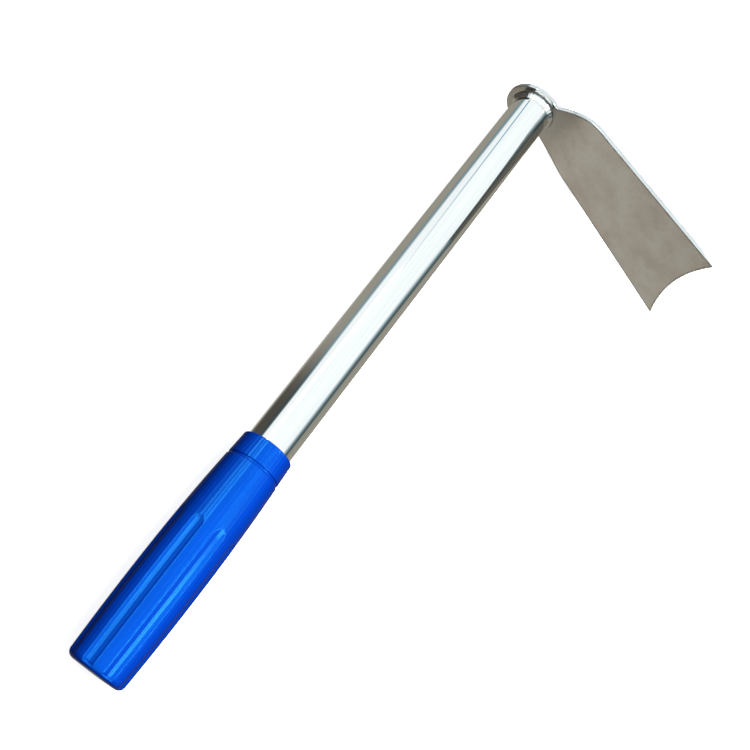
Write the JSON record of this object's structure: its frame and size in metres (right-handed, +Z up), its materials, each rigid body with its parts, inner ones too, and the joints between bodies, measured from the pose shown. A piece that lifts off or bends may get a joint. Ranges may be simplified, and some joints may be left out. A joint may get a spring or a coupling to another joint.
{
  "type": "short-handled garden hoe",
  "caption": "Short one-hand garden hoe: polished metal tube, fluted plastic grip, and a flat shouldered blade with a hollow cutting edge, bent back toward the grip.",
  "frame": {"origin": "centre of the footprint, on the floor that the hoe lies on", "axes": "+X along the handle from the butt to the head, +Z up, and the blade reaches out toward -Y; the hoe lies on its side on the belly of its grip, the rim of its tang and one shoulder of its blade"},
  "size_m": [0.4054, 0.157, 0.0812],
  "materials": {
    "polished_tube": "mirror-polished stainless steel",
    "weld_metal": "as-welded stainless filler, lightly polished",
    "blade_steel": "satin stainless sheet with faint mottling",
    "blue_plastic": "glossy moulded plastic"
  },
  "bodies": {
    "root": {"tube": "polished_tube", "weld_bead": "weld_metal", "blade": "blade_steel", "grip": "blue_plastic"}
  },
  "joints": []
}
